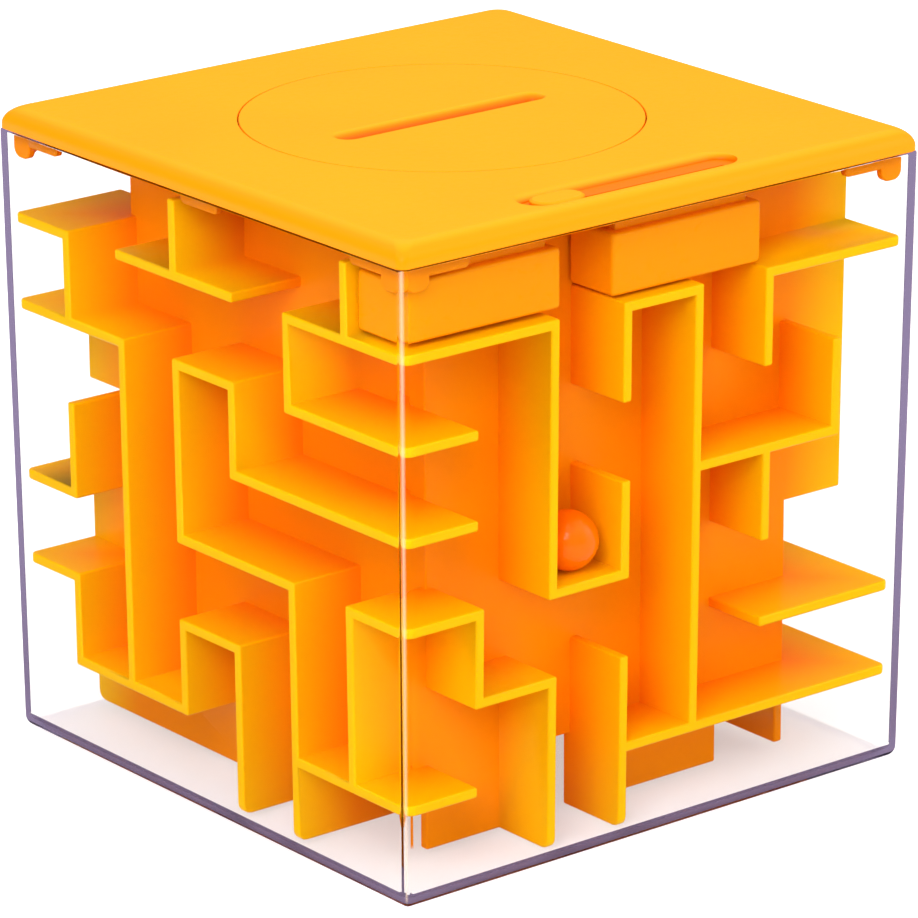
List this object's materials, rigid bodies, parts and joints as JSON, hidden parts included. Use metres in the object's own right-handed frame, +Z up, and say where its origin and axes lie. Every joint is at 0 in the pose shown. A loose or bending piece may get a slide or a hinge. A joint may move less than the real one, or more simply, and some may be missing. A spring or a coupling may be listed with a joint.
{
  "type": "tilt maze puzzle box",
  "caption": "Clear cube around a walled ball maze core, with a lift-off lid, a coin slot and a sliding latch that the ball works.",
  "frame": {"origin": "centre of the case's underside", "axes": "+Z up through the lid, -Y towards the side with the latch slot, +X to the right seen from that side"},
  "size_m": [0.086, 0.086, 0.0876],
  "materials": {
    "clear_plastic": "clear polished styrene",
    "orange_plastic": "semi-gloss moulded styrene, slightly translucent",
    "orange_moving": "semi-gloss moulded styrene",
    "screw_steel": "zinc plated",
    "orange_ball": "glossy moulded styrene"
  },
  "bodies": {
    "case": {"clear_case": "clear_plastic", "maze_core": "orange_plastic"},
    "lid": {"lid": "orange_plastic", "coin_slot_disc": "orange_plastic", "slider_retainer": "orange_moving", "retainer_screw_1": "screw_steel", "retainer_screw_2": "screw_steel"},
    "slider": {"latch_button": "orange_moving", "driver_block": "orange_moving"},
    "bolt": {"bolt_block": "orange_moving"},
    "ball": {"maze_ball": "orange_ball"}
  },
  "joints": [
    {"name": "lid_lift", "type": "slide", "parent": "case", "child": "lid", "axis": [0, 0, 1], "range_m": [0, 0.04]},
    {"name": "latch_slide", "type": "slide", "parent": "lid", "child": "slider", "axis": [1, 0, 0], "range_m": [0, 0.0214]},
    {"name": "bolt_slide", "type": "slide", "parent": "lid", "child": "bolt", "axis": [1, 0, 0], "range_m": [0, 0.0214]},
    {"name": "ball_roll", "type": "slide", "parent": "case", "child": "ball", "axis": [0, 0, 1], "range_m": [0, 0.0255]}
  ],
  "couplings": [
    {"joint": "bolt_slide", "follows": "latch_slide", "ratio": 1}
  ]
}
